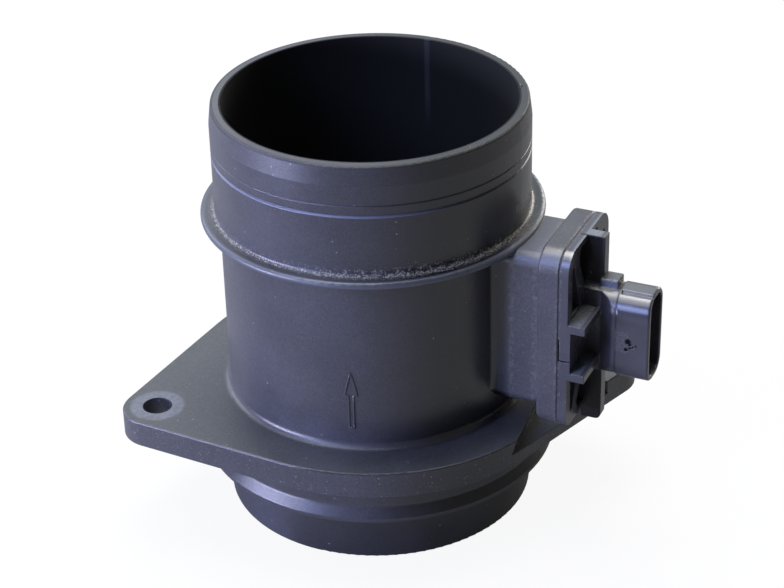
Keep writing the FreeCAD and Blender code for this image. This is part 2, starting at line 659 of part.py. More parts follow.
def channel_spaces():
    """Air path in the finger's tip: up from the mouth, over the loop and down to the outlet."""
    half = CHANNEL_WIDTH / 2
    y0, y1 = LID_SEAT_Y - LAP, CHANNEL_FLOOR_Y
    left_x = CHANNEL_LOOP_X - CHANNEL_LOOP_R
    right_x = CHANNEL_LOOP_X + CHANNEL_LOOP_R
    rise = block(left_x - half, left_x + half, y0, y1, POCKET_LOW_Z, CHANNEL_LOOP_Z)
    fall = block(right_x - half, right_x + half, y0, y1, CHANNEL_OUTLET_Z, CHANNEL_LOOP_Z)
    mouth = block(left_x - half, left_x + half, -MOUTH_HALF_WIDTH, CHANNEL_FLOOR_Y,
                  FINGER_LOW_Z - 1, POCKET_LOW_Z + 1)
    centre = V(CHANNEL_LOOP_X, y0, CHANNEL_LOOP_Z)
    outer = Part.makeCylinder(CHANNEL_LOOP_R + half, y1 - y0, centre, V(0, 1, 0))
    inner = Part.makeCylinder(CHANNEL_LOOP_R - half, y1 - y0, centre, V(0, 1, 0))
    reach = CHANNEL_LOOP_R + CHANNEL_WIDTH
    upper = block(CHANNEL_LOOP_X - reach, CHANNEL_LOOP_X + reach, y0, y1,
                  CHANNEL_LOOP_Z, CHANNEL_LOOP_Z + reach)
    return [rise, fall, mouth, outer.cut(inner).common(upper)]


def bypass_lid_box(gap):
    """Recess over the bypass channel; a gap shrinks it to the lid."""
    half = CHANNEL_WIDTH / 2 + LID_LAP
    return (CHANNEL_LOOP_X - CHANNEL_LOOP_R - half + gap, CHANNEL_LOOP_X + CHANNEL_LOOP_R + half - gap,
            POCKET_LOW_Z - LID_LAP + gap, CHANNEL_LOOP_Z + CHANNEL_LOOP_R + half - gap)


def electronics_lid_box(gap):
    """Recess over the electronics pocket; a gap shrinks it to the lid."""
    return (POCKET_LOW_X - LID_LAP + gap, POCKET_HIGH_X + LID_LAP - gap,
            POCKET_LOW_Z - LID_LAP + gap, POCKET_HIGH_Z + LID_LAP - gap)


def lid(box):
    """Flat lid between the recess seat and the finger's side."""
    x0, x1, z0, z1 = box
    return block(x0, x1, -FINGER_HALF_WIDTH, LID_SEAT_Y, z0, z1)


def bypass_cover():
    """Lid of the bypass channel, with the outlet window."""
    half = CHANNEL_WIDTH / 2
    right_x = CHANNEL_LOOP_X + CHANNEL_LOOP_R
    window = block(right_x - half, right_x + half, -FINGER_HALF_WIDTH - 1, LID_SEAT_Y + 1,
                   CHANNEL_OUTLET_Z, CHANNEL_OUTLET_Z + CHANNEL_OUTLET_HEIGHT)
    return lid(bypass_lid_box(LID_GAP)).cut(window)


def electronics_cover():
    """Lid over the circuit, with a shallow stiffening panel pressed into its face."""
    plain = lid(electronics_lid_box(LID_GAP))
    x0, x1, z0, z1 = electronics_lid_box(PANEL_INSET)
    panel = block(x0, x1, -FINGER_HALF_WIDTH - 1, PANEL_DEPTH - FINGER_HALF_WIDTH, z0, z1)
    return plain.cut(panel)


def finger_form():
    """Blade with rounded leading and trailing edges, and the guard below it."""
    blade = slab(FINGER_HALF_WIDTH, FINGER_LOW_Z, FINGER_HIGH_Z, FINGER_ROUND, FINGER_ROUND,
                 FINGER_TIP_X, BORE_R + 2)
    low_z = FINGER_LOW_Z - GUARD_DROP
    outer = block(BEAD_X - GUARD_HALF_LENGTH, BEAD_X + GUARD_HALF_LENGTH,
                  -GUARD_HALF_WIDTH, GUARD_HALF_WIDTH, low_z, FINGER_LOW_Z + 1)
    inner_half = GUARD_HALF_LENGTH - GUARD_WALL
    inner = block(BEAD_X - inner_half, BEAD_X + inner_half, -GUARD_HALF_WIDTH - 1, GUARD_HALF_WIDTH + 1,
                  low_z + GUARD_WALL, FINGER_LOW_Z)
    return [blade, outer.cut(inner)]


def finger_spaces():
    """Lid recesses, electronics pocket, bypass channel and the slot for the element's tongue."""
    spaces = [lid(bypass_lid_box(0)), lid(electronics_lid_box(0))]
    outside = [block(box[0], box[1], -FINGER_HALF_WIDTH - 1, -FINGER_HALF_WIDTH + 0.01, box[2], box[3])
               for box in (bypass_lid_box(0), electronics_lid_box(0))]
    pocket = block(POCKET_LOW_X, POCKET_HIGH_X, LID_SEAT_Y - LAP, ELECTRONICS_FLOOR_Y,
                   POCKET_LOW_Z, POCKET_HIGH_Z)
    half = TONGUE_HALF_HEIGHT + FIT_GAP
    right_x = CHANNEL_LOOP_X + CHANNEL_LOOP_R
    floor_y = ELECTRONICS_FLOOR_Y - BASE_THICK + FIT_GAP
    slot = block(right_x, POCKET_LOW_X + LAP, floor_y - TONGUE_THICK - 2 * FIT_GAP, floor_y,
                 CHANNEL_LOOP_Z - TONGUE_HALF_HEIGHT - half, CHANNEL_LOOP_Z - TONGUE_HALF_HEIGHT + half)
    return spaces + outside + [pocket, slot] + channel_spaces()


def pin_heights():
    """Height of each connector pin, from the lowest up."""
    middle = (PIN_COUNT - 1) / 2
    return [CONNECTOR_Z + (i - middle) * PIN_PITCH for i in range(PIN_COUNT)]


def terminal_pin(z):
    """Flat pin from the connector's mouth through the plug to the circuit, with a tapered tip."""
    x0 = POCKET_HIGH_X - PIN_INNER_REACH
    x1 = CONNECTOR_END_X - PIN_SETBACK
    taper = PIN_WIDTH / 3
    points = [
        V(x0, -PIN_THICK / 2, z - PIN_WIDTH / 2),
        V(x1 - taper * 2, -PIN_THICK / 2, z - PIN_WIDTH / 2),
        V(x1, -PIN_THICK / 2, z - PIN_WIDTH / 2 + taper),
        V(x1, -PIN_THICK / 2, z + PIN_WIDTH / 2 - taper),
        V(x1 - taper * 2, -PIN_THICK / 2, z + PIN_WIDTH / 2),
        V(x0, -PIN_THICK / 2, z + PIN_WIDTH / 2),
    ]
    return Part.Face(Part.makePolygon(points + points[:1])).extrude(V(0, PIN_THICK, 0))


def temperature_leads():
    """Two straight wires from the bead up into the electronics pocket."""
    low_z = FINGER_LOW_Z - BEAD_DROP + BEAD_R * 0.6
    length = POCKET_LOW_Z + LEAD_END_RISE - low_z
    wires = [Part.makeCylinder(LEAD_R, length, V(BEAD_X + side * LEAD_SPACING / 2, 0, low_z))
             for side in (-1, 1)]
    return Part.makeCompound(wires)


def air_temperature_sensor():
    """Glass-coated bead, with the two wires' ends let into it."""
    bead = Part.makeSphere(BEAD_R, V(BEAD_X, 0, FINGER_LOW_Z - BEAD_DROP))
    return bead.cut(temperature_leads())


def sensor_body():
    """Cover plate, connector, plug and finger, moulded round the pins as one piece."""
    parts = cover_ribs() + connector_shroud() + finger_form() + [sensor_plug()]
    body = cover_plate().fuse(parts)
    drop = POCKET_LOW_Z - FINGER_LOW_Z + 2
    wires = [Part.makeCylinder(LEAD_R, drop, V(BEAD_X + side * LEAD_SPACING / 2, 0, FINGER_LOW_Z - 1))
             for side in (-1, 1)]
    pins = [terminal_pin(z) for z in pin_heights()]
    body = body.cut(connector_space() + finger_spaces() + wires)
    return body.cut(pins).removeSplitter()


def base_plate():
    """Metal plate on the floor of the electronics pocket."""
    gap = FIT_GAP
    return block(POCKET_LOW_X + gap, POCKET_HIGH_X - gap, ELECTRONICS_FLOOR_Y - BASE_THICK,
                 ELECTRONICS_FLOOR_Y, POCKET_LOW_Z + gap, POCKET_HIGH_Z - gap)


def circuit_board():
    """Ceramic board on the base plate."""
    return block(BOARD_LOW_X, BOARD_HIGH_X, BOARD_FACE_Y, BOARD_FACE_Y + BOARD_THICK,
                 POCKET_LOW_Z + BOARD_MARGIN, POCKET_HIGH_Z - BOARD_MARGIN)


def control_chip():
    """Evaluation chip on the board."""
    half = CHIP_SIZE / 2
    return block(CHIP_X - half, CHIP_X + half, BOARD_FACE_Y - CHIP_THICK, BOARD_FACE_Y,
                 CHIP_Z - half, CHIP_Z + half)


def chip_capacitors():
    """Row of small capacitors below the chip."""
    long_x, tall_y, wide_z = CAPACITOR_SIZE
    z0 = CHIP_Z - CHIP_SIZE / 2 - 3 * wide_z
    parts = []
    for i in range(CAPACITOR_COUNT):
        x0 = BOARD_LOW_X + BOARD_MARGIN + i * CAPACITOR_PITCH
        parts.append(block(x0, x0 + long_x, BOARD_FACE_Y - tall_y, BOARD_FACE_Y, z0, z0 + wide_z))
    return Part.makeCompound(parts)


def protective_gel():
    """Soft gel poured over the board, round the parts that stand on it."""
    pour = block(BOARD_LOW_X, BOARD_HIGH_X - GEL_SETBACK, BOARD_FACE_Y - GEL_DEPTH, BOARD_FACE_Y,
                 POCKET_LOW_Z + BOARD_MARGIN + LEAD_END_RISE, POCKET_HIGH_Z - BOARD_MARGIN)
    return pour.cut([control_chip(), chip_capacitors()])


def element_carrier():
    """Tongue on the base plate that reaches through the wall into the bypass channel."""
    right_x = CHANNEL_LOOP_X + CHANNEL_LOOP_R
    y1 = ELECTRONICS_FLOOR_Y - BASE_THICK
    z = CHANNEL_LOOP_Z - TONGUE_HALF_HEIGHT
    return block(right_x - CHANNEL_WIDTH / 2 + TONGUE_SETBACK, POCKET_LOW_X + TONGUE_LAP,
                 y1 - TONGUE_THICK, y1, z - TONGUE_HALF_HEIGHT, z + TONGUE_HALF_HEIGHT)


def sensing_element():
    """Heated sensing chip on the tongue, in the middle of the channel."""
    long_x, tall_y, wide_z = ELEMENT_SIZE
    right_x = CHANNEL_LOOP_X + CHANNEL_LOOP_R
    y1 = ELECTRONICS_FLOOR_Y - BASE_THICK - TONGUE_THICK
    z = CHANNEL_LOOP_Z - TONGUE_HALF_HEIGHT
    return block(right_x - long_x / 2, right_x + long_x / 2, y1 - tall_y, y1,
                 z - wide_z / 2, z + wide_z / 2)


def bond_wires():
    """Fine arched wires from each pin to the board."""
    start_x = POCKET_HIGH_X - PIN_INNER_REACH + WIRE_END_INSET
    end_x = BOARD_HIGH_X - WIRE_END_INSET
    wires = []
    for z in pin_heights():
        start = V(start_x, -PIN_THICK / 2, z)
        end = V(end_x, BOARD_FACE_Y, z)
        crown = V((start_x + end_x) / 2, -PIN_THICK / 2 - WIRE_RISE, z)
        path = Part.Wire([Part.Arc(start, crown, end).toShape()])
        tangent = path.Edges[0].tangentAt(path.Edges[0].FirstParameter)
        section = Part.Wire([Part.makeCircle(WIRE_R, start, tangent)])
        wires.append(path.makePipeShell([section], True, False))
    lands = [circuit_board()] + [terminal_pin(z) for z in pin_heights()]
    return Part.makeCompound([wire.cut(lands) for wire in wires])


def save(name, shape):
    """Write one piece to its own file."""
    shape.exportStep(os.path.join("parts", name + ".step"))
    facts = (name, len(shape.Solids), shape.isValid(), shape.Volume)
    print("%-24s solids %d, valid %s, volume %.1f" % facts)


def main():
    os.makedirs("parts", exist_ok=True)
    housing_pieces = {
        "tube_housing": tube_housing(),
        "flow_grille": flow_grille(),
    }
    sensor_pieces = {
        "sensor_body": sensor_body(),
        "sensor_seal_ring": sensor_seal_ring(),
        "bypass_cover": bypass_cover(),
        "electronics_cover": electronics_cover(),
        "base_plate": base_plate(),
        "circuit_board": circuit_board(),
        "control_chip": control_chip(),
        "chip_capacitors": chip_capacitors(),
        "protective_gel": protective_gel(),
        "element_carrier": element_carrier(),
        "sensing_element": sensing_element(),
        "bond_wires": bond_wires(),
        "air_temperature_sensor": air_temperature_sensor(),
        "temperature_leads": temperature_leads(),
    }
    for number, z in enumerate(pin_heights(), start=1):
        sensor_pieces["terminal_pin_%d" % number] = terminal_pin(z)
    for name, shape in housing_pieces.items():
        save(name, shape)
    for name, shape in sensor_pieces.items():
        shape.translate(V(0, SENSOR_MIDDLE_Y, 0))
        save(name, shape)


main()
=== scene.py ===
# %% [markdown] This is a mass airflow sensor: a moulded duct that an engine breathes through, with a
# plug-in sensor that measures the air on its way. Its solids come ready made from the CAD frame, so
# Blender's work is the finish. Every solid gets a material, a raised arrow is added, and a floor,
# lamps and a camera show it as in the photograph. The solids could be imported and placed by hand.

# %% Load the frame
import math

import bpy
from mathutils import Matrix, Vector


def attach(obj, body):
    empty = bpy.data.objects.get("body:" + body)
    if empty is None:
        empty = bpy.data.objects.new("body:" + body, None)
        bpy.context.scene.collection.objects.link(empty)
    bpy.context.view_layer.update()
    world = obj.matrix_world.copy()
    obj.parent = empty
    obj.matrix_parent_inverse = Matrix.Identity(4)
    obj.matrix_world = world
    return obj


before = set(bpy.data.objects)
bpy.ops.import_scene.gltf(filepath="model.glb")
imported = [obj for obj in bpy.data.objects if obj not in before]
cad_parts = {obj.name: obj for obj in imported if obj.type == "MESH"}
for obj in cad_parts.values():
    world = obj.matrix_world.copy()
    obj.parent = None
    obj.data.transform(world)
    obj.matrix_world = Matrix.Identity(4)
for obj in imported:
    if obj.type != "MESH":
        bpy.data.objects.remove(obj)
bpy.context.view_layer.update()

MM = 0.001
print("solids in the frame:", len(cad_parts))

# %% [markdown]
# A finish is a tree of nodes. It could be painted as an image, but an image has to be unwrapped onto the
# solid, and it blurs when the camera comes near. Nodes that read Object coordinates hold from every side,
# and they can place dust "in the corner above the collar" because the corner's height is known.
# The nodes could be laid out one by one. A class with a call for each kind keeps the trees short enough
# to read: a call adds a node, links what it is given, and gives back the socket with the result.

# %% A node tree with short calls
class Tree:
    """Node tree of one material."""

    def __init__(self, name):
        self.material = bpy.data.materials.new(name)
        self.material.use_nodes = True
        self.nodes = self.material.node_tree.nodes
        self.links = self.material.node_tree.links
        self.nodes.clear()
        self.out = self.nodes.new("ShaderNodeOutputMaterial")
        self.point = self.nodes.new("ShaderNodeTexCoord").outputs["Object"]

    def feed(self, socket, value):
        """Link a socket, or set a plain value on it."""
        if isinstance(value, bpy.types.NodeSocket):
            self.links.new(value, socket)
        else:
            socket.default_value = value

    def math(self, operation, a, b=0.0, clamp=False):
        """Result of one sum."""
        node = self.nodes.new("ShaderNodeMath")
        node.operation = operation
        node.use_clamp = clamp
        self.feed(node.inputs[0], a)
        self.feed(node.inputs[1], b)
        return node.outputs[0]

    def vector_math(self, operation, a, b=None):
        """Node of one sum with vectors."""
        node = self.nodes.new("ShaderNodeVectorMath")
        node.operation = operation
        self.feed(node.inputs[0], a)
        if b is not None:
            self.feed(node.inputs[1], b)
        return node

    def parts(self, vector):
        """The x, y and z of a vector."""
        node = self.nodes.new("ShaderNodeSeparateXYZ")
        self.feed(node.inputs[0], vector)
        return node.outputs[0], node.outputs[1], node.outputs[2]

    def joined(self, x, y, z):
        """A vector from its x, y and z."""
        node = self.nodes.new("ShaderNodeCombineXYZ")
        self.feed(node.inputs[0], x)
        self.feed(node.inputs[1], y)
        self.feed(node.inputs[2], z)
        return node.outputs[0]


print("node tree calls:", [name for name in vars(Tree) if not name.startswith("_")])

# %% [markdown]
# Dust, wear and stains are shares: a number from 0 to 1 at each point that says how much of a finish is
# there. They could be painted as vertex colours, but the CAD's triangles are too large for that.
# Map Range nodes make a share from a height or a radius, and products and maxima join shares up.

# %% Shares
def ramp(tree, value, start, end, low=0.0, high=1.0, smooth=True):
    """Value mapped from start..end to low..high, and held there."""
    node = tree.nodes.new("ShaderNodeMapRange")
    node.interpolation_type = "SMOOTHSTEP" if smooth else "LINEAR"
    tree.feed(node.inputs["Value"], value)
    node.inputs["From Min"].default_value = start
    node.inputs["From Max"].default_value = end
    node.inputs["To Min"].default_value = low
    node.inputs["To Max"].default_value = high
    return node.outputs[0]


def fall(tree, value, start, end):
    """1 up to start, falling to 0 at end."""
    return ramp(tree, value, start, end, 1.0, 0.0)


def all_of(tree, *shares):
    """Product of several shares, or of a share and plain numbers."""
    result = shares[0]
    for share in shares[1:]:
        result = tree.math("MULTIPLY", result, share)
    return result


def any_of(tree, *shares):
    """Greatest of several shares."""
    result = shares[0]
    for share in shares[1:]:
        result = tree.math("MAXIMUM", result, share)
    return result


def outside(tree, share):
    """Where a share isn't."""
    return tree.math("SUBTRACT", 1.0, share)


def band(tree, value, start, end, edge):
    """1 between start and end, falling to 0 over edge on either side."""
    return all_of(tree, ramp(tree, value, start - edge, start), fall(tree, value, end, end + edge))


print("a share starts as a ramp, a fall or a band")

# %% [markdown]
# The housing is one moulding of black plastic filled with glass. It is satin on the turned faces, and
# matt and a little chalky on the flange and on the sensor's neck. It could be several materials on
# several faces, but a change of finish on a moulding has no hard border, so one tree blends them all.
# A drawing of the part gives its places in millimetres, and Object coordinates are in metres. Places could
# be written in metres, but 0.0587 is harder to read than 58.7, so the tree multiplies x, y and z once.

# %% Housing: places in millimetres
def places(tree):
    """The point's x, y and z in millimetres."""
    return [tree.math("MULTIPLY", part, 1 / MM) for part in tree.parts(tree.point)]


def reach(tree, x, y, middle=(0.0, 0.0)):
    """Distance from an upright axis."""
    dx = tree.math("SUBTRACT", x, middle[0])
    dy = tree.math("SUBTRACT", y, middle[1])
    return tree.math("SQRT", tree.math("ADD", tree.math("MULTIPLY", dx, dx), tree.math("MULTIPLY", dy, dy)))


tree = Tree("housing_plastic")
x, y, z = places(tree)
r = reach(tree, x, y)
angle = tree.math("ARCTAN2", y, x)

# %% [markdown]
# Black plastic is never one colour: it clouds, and its glass fibres show as a fine grain.
# A photograph of plastic could be tiled over it, but tiles repeat. Noise gives clouds and grain of any
# size and never repeats, and a mix turns it into colour.

# %% Housing: clouds, grain and fibres
def noise(tree, size, detail, rough, seed=0.0, vector=None):
    """Noise with lumps of about this size in millimetres."""
    node = tree.nodes.new("ShaderNodeTexNoise")
    node.noise_dimensions = "4D"
    node.inputs["Scale"].default_value = 1.0 / (size * MM)
    node.inputs["Detail"].default_value = detail
    node.inputs["Roughness"].default_value = rough
    node.inputs["W"].default_value = seed
    tree.feed(node.inputs["Vector"], vector or tree.point)
    return node.outputs[0]


cloud = noise(tree, 22.0, 3.0, 0.6)
blotch = noise(tree, 4.5, 4.0, 0.65, seed=11.0)
grain = noise(tree, 0.45, 3.0, 0.75, seed=3.0)
fibre = noise(tree, 1.1, 3.0, 0.75, seed=7.0)
print("nodes so far:", len(tree.nodes))

# %% [markdown]
# Moulded edges are never sharp, and a fine highlight runs along them. Real fillets on every edge would cost
# many triangles, and the CAD's mesh isn't changed here. The Bevel node rounds the normal alone, which is
# all that a highlight needs, and where it differs from the surface's own normal there is an edge to wear.
# The outlet's thin rim gets a much smaller rounding, because a wide highlight would cover it whole.

# %% Housing: rounded edges
BORE_R = 38.35
HOSE_R = 41.65
OUTLET_Z = 89.0
UP = (0, 0, 1)
ROUNDING = 0.25
RIM_ROUNDING = 0.02


def own_normal(tree):
    """The surface's own normal."""
    return tree.nodes.new("ShaderNodeNewGeometry").outputs["Normal"]


def facing(tree, axis):
    """How far the surface faces along an axis of the object, from -1 to 1."""
    return tree.vector_math("DOT_PRODUCT", own_normal(tree), axis).outputs["Value"]


def soft_edge(tree, radius):
    """Normal that rounds sharp edges over a radius in millimetres."""
    node = tree.nodes.new("ShaderNodeBevel")
    node.samples = 4
    in_metres = tree.math("MULTIPLY", radius, MM) if isinstance(radius, bpy.types.NodeSocket) else radius * MM
    tree.feed(node.inputs["Radius"], in_metres)
    return node.outputs[0]


def edges(tree, rounded):
    """1 along sharp edges, where the rounded normal leaves the surface's own."""
    likeness = tree.vector_math("DOT_PRODUCT", rounded, own_normal(tree)).outputs["Value"]
    return fall(tree, likeness, 0.90, 0.995)


up = ramp(tree, facing(tree, UP), 0.5, 0.9)
at_rim = ramp(tree, z, OUTLET_Z - 0.9, OUTLET_Z - 0.6)
shoulder = all_of(tree, band(tree, r, HOSE_R - 1.3, HOSE_R - 0.5, 0.1), at_rim)
thin = any_of(tree, shoulder, fall(tree, r, BORE_R + 0.85, BORE_R + 1.35))
rounded = soft_edge(tree, ramp(tree, thin, 0.0, 1.0, ROUNDING, RIM_ROUNDING))
edge = all_of(tree, edges(tree, rounded), outside(tree, shoulder))
print("edges are rounded over", ROUNDING, "mm, and the rim's over", RIM_ROUNDING)

# %% [markdown]
# Next come the housing's regions: the sensor's neck, the flange, the bore, the hose end and the spigot.
# "Leftward" tells the two sides of the wall apart. The left one, towards the window lamp, gets painted light,
# a pale haze. The right one gets painted shade, nearly black, and so do the hose end's right side and the
# spigot's foot.
# Each region could be a material on faces of its own, but a finish doesn't end where the CAD's triangles do,
# so heights and radii mark it off.

# %% Housing: regions
WINDOW_SIDE = (-0.866, -0.5)
NECK_X = (41.0, 44.0)
NECK_LOW_Z = (8.0, 9.0)
NECK_HIGH_Z = (60.4, 60.9)
FLANGE_Z = (-1.0, 8.2)
FLANGE_R = (41.0, 43.0)
HOSE_END_Z = (59.5, 60.5)
SPIGOT_Z = (-16.0, -13.0)

leftward = tree.math("ADD", all_of(tree, x, WINDOW_SIDE[0]), all_of(tree, y, WINDOW_SIDE[1]))
leftward = tree.math("DIVIDE", leftward, r)
neck = all_of(tree, ramp(tree, x, *NECK_X), ramp(tree, z, *NECK_LOW_Z), fall(tree, z, *NECK_HIGH_Z))
flange = all_of(tree, band(tree, z, *FLANGE_Z, 0.6), ramp(tree, r, *FLANGE_R))
flange_top = all_of(tree, flange, up)
bore = fall(tree, r, BORE_R + 0.4, BORE_R + 0.65)
# painted shade: the wall's right side, away from the window lamp, is marked to be made nearly black
shaded_side = fall(tree, leftward, -0.40, 0.25)
shaded_side = all_of(tree, shaded_side, outside(tree, any_of(tree, neck, all_of(tree, flange_top, 0.8))))
# painted light: the wall's left side, towards the window lamp, is marked for a pale haze
lit_side = all_of(tree, ramp(tree, leftward, 0.75, 1.0), outside(tree, flange_top), ramp(tree, z, -1.5, -0.5))
# painted shade: the hose end above the collar is darkened on its right side
hose_end_shade = all_of(tree, ramp(tree, z, *HOSE_END_Z), ramp(tree, leftward, 0.2, 0.7, 0.3, 0.0))
# painted shade: the spigot's foot is darkened, except on its left side
spigot_shade = all_of(tree, ramp(tree, z, *SPIGOT_Z, 0.5, 0.0), fall(tree, leftward, 0.5, 0.8))
chalky = all_of(tree, neck, ramp(tree, blotch, 0.35, 0.65, 0.1, 0.7))
print("neck from x", NECK_X, "and from z", NECK_LOW_Z, "to", NECK_HIGH_Z)

# %% [markdown]
# The plastic is nearly black when new, and use has turned it to a faint blue grey, paler along the edges.
# One dark colour all over would look like paint. So each region is mixed over the last, painted light and
# painted shade among them, and the grain darkens and lightens it by turns. Colours are written as a plain
# light shows them.

# %% Housing: colour of the plastic
def mix(tree, share, a, b):
    """Colour a at share 0 and b at share 1."""
    node = tree.nodes.new("ShaderNodeMix")
    node.data_type = "RGBA"
    tree.feed(node.inputs[0], share)
    tree.feed(node.inputs[6], a)
    tree.feed(node.inputs[7], b)
    return node.outputs[2]


def rgb(red, green, blue):
    """Linear colour."""
    return (red, green, blue, 1.0)


base = mix(tree, ramp(tree, cloud, 0.3, 0.7), rgb(0.062, 0.061, 0.078), rgb(0.082, 0.081, 0.101))
base = mix(tree, all_of(tree, flange_top, 0.6), base, rgb(0.070, 0.078, 0.080))
# painted light: the left side of the wall is mixed paler
base = mix(tree, all_of(tree, lit_side, 0.5), base, rgb(0.150, 0.145, 0.145))
# painted shade on the hose end's right side
base = mix(tree, hose_end_shade, base, rgb(0.030, 0.030, 0.036))
# painted shade: the outlet's rounded shoulder is darkened, so that it shows no highlight
base = mix(tree, all_of(tree, shoulder, 0.7), base, rgb(0.020, 0.021, 0.026))
base = mix(tree, chalky, base, rgb(0.085, 0.084, 0.096))
base = mix(tree, ramp(tree, grain, 0.38, 0.54, 0.45, 0.0), base, rgb(0.026, 0.027, 0.033))
base = mix(tree, ramp(tree, grain, 0.54, 0.70, 0.0, 0.40), base, rgb(0.150, 0.150, 0.160))
# painted shade: the right side of the wall and the spigot's foot are mixed nearly black
base = mix(tree, any_of(tree, all_of(tree, shaded_side, 0.95), spigot_shade), base, rgb(0.009, 0.008, 0.008))
base = mix(tree, all_of(tree, edge, 0.22), base, rgb(0.200, 0.205, 0.235))
print("nodes so far:", len(tree.nodes))

# %% [markdown]
# Some places wear in their own way: small nicks are out of the outlet's rim. The lip of the hose end and the
# collar's brim get painted highlights, pale blue lines. The bore gets painted shade, nearly black, with one
# pale streak down its back.
# Nicks could be cut in the mesh, but they are smaller than a millimetre, so a dark spot and a bump do.

# %% Housing: wear, painted highlights and the bore's painted shade
LIP_Z = (75.25, 75.75)
BRIM_Z = (56.9, 59.2)
BRIM_R = (43.9, 44.5)
STREAK_TURN = (math.radians(90.3), math.radians(91.3))
STREAK_Z = (62.0, 75.0)
NICKS = [
    (-33.0, -19.1, 0.3, 0.8),
    (33.5, 19.1, 0.6, 1.2),
    (34.4, 17.4, 0.2, 0.7),
    (-33.9, -17.6, 0.1, 0.5),
]


def near(tree, place, start, end):
    """1 closer than start to a place, falling to 0 at end, all in millimetres."""
    distance = tree.vector_math("DISTANCE", tree.point, [v * MM for v in place]).outputs["Value"]
    return fall(tree, distance, start * MM, end * MM)


# painted highlight: a pale blue line along the hose end's groove, fading to the right
lip_highlight = all_of(tree, band(tree, z, *LIP_Z, 0.12), ramp(tree, leftward, -0.6, 0.2, 0.08, 0.8))
base = mix(tree, lip_highlight, base, rgb(0.230, 0.245, 0.340))
# painted highlight: a pale blue line along the collar's brim
brim_highlight = all_of(tree, band(tree, z, *BRIM_Z, 0.2), ramp(tree, r, *BRIM_R))
base = mix(tree, all_of(tree, brim_highlight, 0.55), base, rgb(0.150, 0.165, 0.205))
# painted shade: the inside of the bore is made nearly black
base = mix(tree, bore, base, rgb(0.008, 0.008, 0.009))
streak = all_of(tree, bore, band(tree, angle, *STREAK_TURN, 0.02), ramp(tree, z, *STREAK_Z))
base = mix(tree, all_of(tree, streak, 0.5), base, rgb(0.060, 0.060, 0.075))
nicks = any_of(tree, *[near(tree, (nick_x, nick_y, OUTLET_Z), *size) for nick_x, nick_y, *size in NICKS])
base = mix(tree, nicks, base, rgb(0.010, 0.010, 0.011))
print("nicks in the rim:", len(NICKS))

# %% [markdown]
# Dust lies where nothing wipes it, and most of it in the corner above the collar.
# It could be strewn as thousands of tiny stones, but each would add triangles. The distance in a Voronoi
# pattern gives scattered dots instead: two sizes of them, broken up by noise and held to the corner's band,
# read as grit. A thin film and a denser line in the crease tie them together.

# %% Housing: dust in the collar's corner
THICKEST_TURN = math.radians(-36)
CORNER_Z = (58.6, 60.1)
CORNER_R = (41.4, 42.9)
CREASE_Z = (58.8, 59.5)
CREASE_R = (41.2, 42.4)


def dots(tree, spacing, radius):
    """1 in scattered dots of this radius, about one in each cell of this spacing, in millimetres."""
    node = tree.nodes.new("ShaderNodeTexVoronoi")
    node.inputs["Scale"].default_value = 1.0 / (spacing * MM)
    tree.feed(node.inputs["Vector"], tree.point)
    size = radius / spacing
    return fall(tree, node.outputs["Distance"], size * 0.6, size * 1.2)


corner = all_of(tree, band(tree, z, *CORNER_Z, 1.8), band(tree, r, *CORNER_R, 0.7))
crease = all_of(tree, band(tree, z, *CREASE_Z, 0.3), band(tree, r, *CREASE_R, 0.4))
from_thickest = tree.math("ABSOLUTE", tree.math("SUBTRACT", angle, THICKEST_TURN))
corner = all_of(tree, corner, ramp(tree, from_thickest, 0.30, 1.1, 1.0, 0.35))
specks = any_of(tree, dots(tree, 0.55, 0.22), dots(tree, 1.3, 0.32))
grit = all_of(tree, corner, specks, ramp(tree, fibre, 0.42, 0.55))
film = all_of(tree, corner, ramp(tree, fibre, 0.40, 0.70), 0.12)
crease_grit = all_of(tree, crease, dots(tree, 0.45, 0.2), ramp(tree, fibre, 0.40, 0.52))
dust = any_of(tree, grit, film, crease_grit)
print("thickest dust at", round(math.degrees(THICKEST_TURN)), "degrees")

# %% [markdown]
# Elsewhere the dust is thin: on the flange's rim, along the foot, the heel and the seam of the sensor's
# neck, and as a few stray specks. A washer has rubbed a pale ring round the left bolt hole.
# Each could be a colour of its own. One dust colour is used for all, with a share that says how much lies
# there, because dust is the same wherever it lies. The ring is mixed in last, on top.

# %% Housing: thin dust and the washer's ring
LEFT_HOLE = (-46.706, -40.316)
WASHER_R = (3.9, 6.6)
FOOT_X = (43.2, 44.2)
HEEL_X = (49.6, 50.9)
NECK_SEAM_X = (56.1, 56.9)
DUST = rgb(0.560, 0.530, 0.460)

rim_grit = all_of(tree, flange, outside(tree, all_of(tree, up, 0.6)), ramp(tree, fibre, 0.50, 0.66))
rim_grit = all_of(tree, rim_grit, dots(tree, 0.7, 0.2))
strays = all_of(tree, dots(tree, 4.5, 0.24), outside(tree, bore))
foot = all_of(tree, band(tree, x, *FOOT_X, 0.7), neck, ramp(tree, fibre, 0.45, 0.65))
heel = all_of(tree, band(tree, x, *HEEL_X, 0.8), neck, ramp(tree, fibre, 0.40, 0.66))
seam = all_of(tree, band(tree, x, *NECK_SEAM_X, 0.3), neck, ramp(tree, fibre, 0.45, 0.65))
chalk = all_of(tree, neck, ramp(tree, grain, 0.56, 0.66))
dust = any_of(tree, dust, all_of(tree, rim_grit, 0.6), all_of(tree, strays, 0.5))
dust = any_of(tree, dust, all_of(tree, foot, 0.16), all_of(tree, heel, 0.16))
dust = any_of(tree, dust, all_of(tree, seam, 0.22), all_of(tree, chalk, 0.07))
base = mix(tree, all_of(tree, dust, 0.9), base, DUST)

washer = band(tree, reach(tree, x, y, LEFT_HOLE), *WASHER_R, 1.2)
washer = all_of(tree, washer, up, ramp(tree, fibre, 0.25, 0.65, 0.35, 1.0))
base = mix(tree, all_of(tree, washer, 0.6), base, rgb(0.235, 0.250, 0.310))
print("washer's ring at", LEFT_HOLE)

